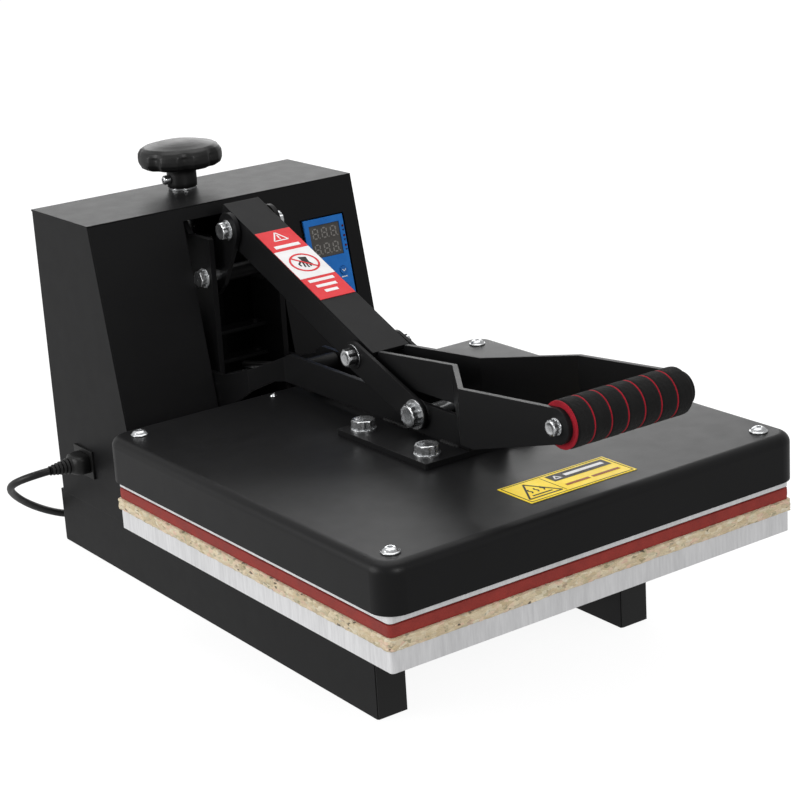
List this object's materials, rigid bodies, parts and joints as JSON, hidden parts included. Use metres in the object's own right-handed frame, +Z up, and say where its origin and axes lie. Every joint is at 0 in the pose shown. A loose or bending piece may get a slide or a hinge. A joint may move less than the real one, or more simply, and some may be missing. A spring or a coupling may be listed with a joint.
{
  "type": "clamshell heat press",
  "caption": "Clamshell heat press with a square heated upper platen, padded lower platen, toggle lever with foam grip, pressure knob and digital controller.",
  "frame": {"origin": "on the floor, midway along the width and depth of the press", "axes": "+Z up, +Y from the grip at the front to the housing at the back, +X to the right seen from the front"},
  "size_m": [0.3965, 0.7674, 0.3639],
  "materials": {
    "black_paint": "fine textured black powder coat",
    "cover_paint": "smooth semi-gloss black powder coat",
    "zinc_steel": "bright zinc-plated steel",
    "block_steel": "plain machined steel",
    "dark_screws": "blackened steel",
    "platen_aluminium": "milled aluminium plate",
    "felt": "tan rebonded felt with coloured flecks",
    "red_silicone": "matt red silicone rubber",
    "black_plastic": "matt black moulded plastic",
    "cord_sheath": "black flexible cord sheath",
    "blue_panel": "blue printed membrane",
    "display_window": "grey segment display window",
    "leds": "red indicator lenses",
    "button_caps": "blue button caps",
    "switch_red": "red translucent rocker",
    "element_sheath": "heat-darkened element sheath",
    "fibre_board": "off-white heat insulating fibre board",
    "yellow_label": "yellow printed label film",
    "red_label": "red and white printed label film",
    "black_foam": "black closed-cell foam",
    "red_rings": "red foam rings"
  },
  "bodies": {
    "base": {"base_tube_left": "black_paint", "base_tube_right": "black_paint", "tube_end_plugs": "black_plastic", "base_cross_bars": "black_paint", "platen_supports": "black_paint", "platen_standoffs": "zinc_steel", "lower_platen": "platen_aluminium", "felt_pad": "felt", "silicone_pad": "red_silicone", "uprights": "black_paint", "frame_cross_plates": "black_paint", "arm_pivot_shaft": "zinc_steel", "rocker_pivot_bolt": "zinc_steel", "housing_front": "black_paint", "housing_top": "black_paint", "housing_side_left": "black_paint", "housing_side_right": "black_paint", "housing_back": "black_paint", "housing_screws": "dark_screws", "controller_bezel": "blue_panel", "controller_display": "display_window", "controller_case": "black_plastic", "indicator_leds": "leds", "power_inlet": "black_plastic", "switch_frame": "black_plastic", "fuse_holder": "black_plastic", "cord_connector": "black_plastic", "cord_cable": "cord_sheath", "cord_coil": "cord_sheath", "cord_plug": "black_plastic"},
    "carrier_arm": {"arm_sides": "black_paint", "arm_cross_tube": "black_paint", "mounting_plate": "black_paint", "mounting_bolts": "zinc_steel", "knee_bolt": "zinc_steel", "top_cover": "cover_paint", "cover_screws": "zinc_steel", "heater_plate": "platen_aluminium", "heating_element": "element_sheath", "insulation_board": "fibre_board", "hot_label": "yellow_label", "heater_lead": "cord_sheath"},
    "lever": {"link_sides": "black_paint", "link_top": "black_paint", "link_label": "red_label", "handle_arms": "black_paint", "grip_core": "zinc_steel", "grip_foam": "black_foam", "grip_rings": "red_rings"},
    "toggle": {"toggle_plates": "black_paint"},
    "rocker": {"rocker_plates": "black_paint", "link_pivot_bolt": "zinc_steel"},
    "pressure_block": {"pressure_block": "block_steel"},
    "knob": {"pressure_knob": "black_plastic", "pressure_screw": "zinc_steel"},
    "power_switch": {"power_switch": "switch_red"},
    "button_1": {"button_1": "button_caps"},
    "button_2": {"button_2": "button_caps"},
    "button_3": {"button_3": "button_caps"},
    "button_4": {"button_4": "button_caps"}
  },
  "joints": [
    {"name": "arm_lift", "type": "hinge", "parent": "base", "child": "carrier_arm", "pos_m": [0, 0.19575, 0.156], "axis": [-1, 0, 0], "range_deg": [0, 40]},
    {"name": "lever_swing", "type": "hinge", "parent": "rocker", "child": "lever", "pos_m": [0, 0.16875, 0.301], "axis": [-1, 0, 0], "range_deg": [0, 72.06]},
    {"name": "toggle_fold", "type": "hinge", "parent": "carrier_arm", "child": "toggle", "pos_m": [0, -0.09525, 0.194], "axis": [-1, 0, 0], "range_deg": [-82.48, 0]},
    {"name": "pressure_turn", "type": "hinge", "parent": "base", "child": "knob", "pos_m": [0, 0.28175, 0.34], "axis": [0, 0, 1], "range_deg": [-270, 270]},
    {"name": "rocker_tilt", "type": "hinge", "parent": "base", "child": "rocker", "pos_m": [0, 0.19175, 0.257], "axis": [1, 0, 0], "range_deg": [-1, 1]},
    {"name": "block_travel", "type": "slide", "parent": "base", "child": "pressure_block", "axis": [0, 0, 1], "range_m": [-0.00155, 0.00155]},
    {"name": "button_1_press", "type": "slide", "parent": "base", "child": "button_1", "axis": [0, 0.98, -0.1991], "range_m": [0, 0.0008], "stiffness_N_per_m": 800, "springref_m": -0.0004},
    {"name": "button_2_press", "type": "slide", "parent": "base", "child": "button_2", "axis": [0, 0.98, -0.1991], "range_m": [0, 0.0008], "stiffness_N_per_m": 800, "springref_m": -0.0004},
    {"name": "button_3_press", "type": "slide", "parent": "base", "child": "button_3", "axis": [0, 0.98, -0.1991], "range_m": [0, 0.0008], "stiffness_N_per_m": 800, "springref_m": -0.0004},
    {"name": "button_4_press", "type": "slide", "parent": "base", "child": "button_4", "axis": [0, 0.98, -0.1991], "range_m": [0, 0.0008], "stiffness_N_per_m": 800, "springref_m": -0.0004},
    {"name": "power_switch_rock", "type": "hinge", "parent": "base", "child": "power_switch", "pos_m": [0.1338, 0.26175, 0.105], "axis": [0, 1, 0], "range_deg": [0, 18]}
  ],
  "couplings": [
    {"joint": "lever_swing", "follows": "arm_lift", "ratio": 1.7891},
    {"joint": "toggle_fold", "follows": "arm_lift", "ratio": -2.0495},
    {"joint": "rocker_tilt", "follows": "pressure_turn", "ratio": -0.0035368},
    {"joint": "block_travel", "follows": "pressure_turn", "m_per_rad": -0.00031831}
  ]
}
